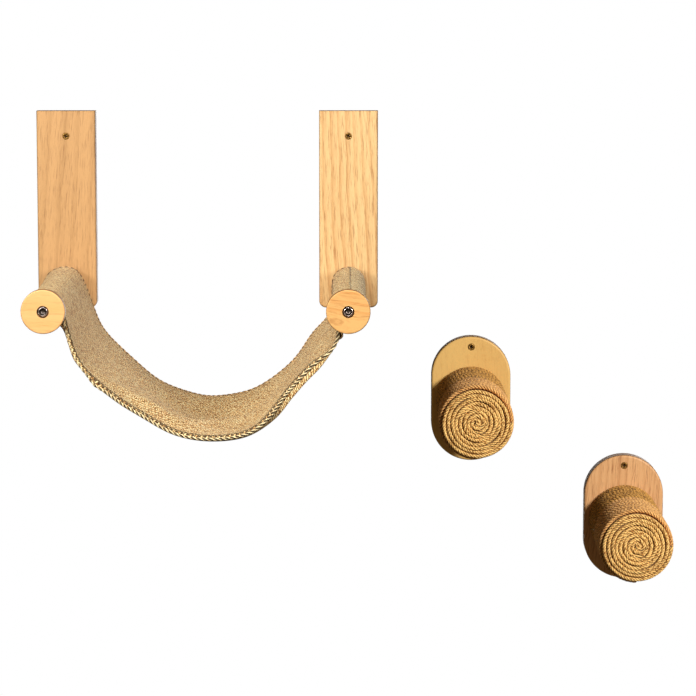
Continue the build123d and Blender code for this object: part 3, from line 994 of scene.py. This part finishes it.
# Step plates and the pegs' cores. Stadium shaped hardwood plates, the first smooth and golden, the
# second rosy with short upright grain, and cores of the dowels' wood, hidden by the rope.
golden_wood = wood(
    "golden_wood",
    pale=tone(222, 178, 104),
    dark=tone(206, 156, 84),
    pore=tone(150, 96, 44),
    grain="Z",
    heart=(0.3, 0.4, 0),
    tilt=0.02,
    ring_gap=0.05,
    ring_share=0.12,
    line_share=0.12,
)
rosy_wood = wood(
    "rosy_wood",
    pale=tone(222, 170, 116),
    dark=tone(193, 137, 85),
    pore=tone(144, 88, 48),
    grain="Z",
    heart=(0.36, 0.08, -0.3),
    tilt=0.1,
    ring_gap=0.006,
    ring_share=0.3,
    line_share=0.62,
)
dress(golden_wood, "step_1_plate")
dress(rosy_wood, "step_2_plate")
dress(dowel_wood, "step_1_core", "step_2_core")


# Rope of the pegs. Three ply jute rope, wound close round each core in two lengths, a darker one next
# to the plate and a lighter one in front, that swell a little towards the face. Thinner rope is coiled
# on the face, with its outer turns drawn back. The first peg's dark colour reaches further forward.

# A rope's lay is the length in which its plies turn once, its spread how far they lie from its middle.
rope_lay = 12.0 * mm
rope_ply = 1.3 * mm
rope_spread = 1.35 * mm
packed_rope_radius = 2.5 * mm
winding_loops = 15
winding_swell = 1.0 * mm
points_per_lay = 8
face_lay = 0.92 * rope_lay
face_ply = 1.15 * mm
face_spread = 1.2 * mm
coil_pitch = 4.6 * mm
coil_turns = 8.4
coil_points = 1250
coil_least_radius = 1.3 * mm
coil_draw = 2.0 * mm
dark_rope_tones = tone(220, 162, 80), tone(116, 72, 24)
light_rope_tones = tone(240, 182, 108), tone(184, 126, 64)
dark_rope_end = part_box("step_1_front_winding")[1][1] - 16 * mm
dark_jute = yarn("dark_jute", *dark_rope_tones, tone(40, 22, 4), rope_ply, 0.05)
light_jute = yarn("light_jute", *light_rope_tones, tone(92, 54, 20), rope_ply, 0.1)
half_dark_jute = yarn(
    "half_dark_jute", *light_rope_tones, tone(84, 48, 16), rope_ply, 0.1, wall_tones=dark_rope_tones, wall_tones_to=dark_rope_end
)
face_jute = yarn("face_jute", tone(255, 206, 124), tone(166, 106, 40), tone(30, 12, 0), face_ply, 0.04)


def winding(axis, turns, radius, start_y, pitch):
    """The rope round a peg at those turns, which lies a little unevenly."""
    angle = 2 * pi * turns
    spoke = np.stack([np.sin(angle), np.zeros(len(angle)), -np.cos(angle)], axis=1)
    sway = 0.15 * mm * np.sin(angle * 3.3) + 0.12 * mm * np.sin(angle * 0.37 + 1)
    sway = sway + winding_swell * turns / (2 * winding_loops)
    line = np.array((axis.x, 0, axis.z)) + (radius + sway[:, None]) * spoke
    line[:, 1] = start_y - pitch * turns + 0.15 * mm * np.sin(angle * 2.7)
    twists = length_along(line) / rope_lay + 0.13 * turns + 0.12 * np.sin(angle * 0.61)
    return ply_tubes(line, spoke, 3, rope_ply, rope_spread, rope_spread, twists, 5)


def face_coil(axis, radius, y):
    """The rope on a peg's face, from its rim at that radius inwards."""
    turns = np.linspace(0, coil_turns, coil_points)
    angle = -2 * pi * turns
    slack = 0.4 * np.sin(angle * 1.7) + 0.3 * np.sin(angle * 4.3 + 2)
    reach = radius - coil_pitch * turns + mm * slack * np.minimum(1, turns)
    reach = np.maximum(reach, coil_least_radius)
    spoke = np.stack([np.cos(angle), np.zeros(len(angle)), np.sin(angle)], axis=1)
    line = np.array((axis.x, y, axis.z)) + reach[:, None] * spoke
    line[:, 1] += 0.35 * mm * np.sin(angle * 2.3) + 0.25 * mm * np.sin(angle * 5.1 + 1)
    line[:, 1] += coil_draw * (1 - soft_step(turns, 0.6, 2.2))
    outward = np.tile((0.0, -1.0, 0.0), (len(line), 1))
    twists = length_along(line) / face_lay + 0.16 * np.sin(angle * 1.3)
    twists = twists + 0.1 * np.sin(angle * 3.7 + 1)
    return ply_tubes(line, outward, 3, face_ply, face_spread, face_spread, twists, 8)


def add_rope(name, node, tubes, jute):
    """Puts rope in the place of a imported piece."""
    vertices, faces, uvs = tubes
    rope = add_piece(name, vertices, faces, jute, "wall_parts", uvs)
    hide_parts(node)


for step, front_jute in (("step_1", half_dark_jute), ("step_2", light_jute)):
    axis = middle(f"{step}_core")
    rear_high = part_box(f"{step}_rear_winding")[1]
    front_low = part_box(f"{step}_front_winding")[0]
    wound_radius = (rear_high[0] - front_low[0]) / 2 - packed_rope_radius
    wound_from = rear_high[1] - packed_rope_radius
    pitch = (wound_from - front_low[1] - packed_rope_radius) / (2 * winding_loops)
    points = round(winding_loops * 2 * pi * wound_radius / rope_lay * points_per_lay)
    turns = np.linspace(0, winding_loops, points)
    rear_rope = winding(axis, turns, wound_radius, wound_from, pitch)
    front_rope = winding(axis, turns + winding_loops, wound_radius, wound_from, pitch)
    add_rope(f"{step}_rear_winding_rope", f"{step}_rear_winding", rear_rope, dark_jute)
    add_rope(f"{step}_front_winding_rope", f"{step}_front_winding", front_rope, front_jute)
    face_rope = face_coil(axis, wound_radius - 0.1 * mm, middle(f"{step}_face_coil").y)
    add_rope(f"{step}_face_rope", f"{step}_face_coil", face_rope, face_jute)


# The lamps of each part light its pieces, and the one behind lights them all.
for piece in scene.objects:
    if piece.type == "MESH" and piece != floor:
        part = "steps" if piece.name.startswith("step_") else "hammock"
        lit_sets[part].objects.link(piece)
        lit_sets["all"].objects.link(piece)
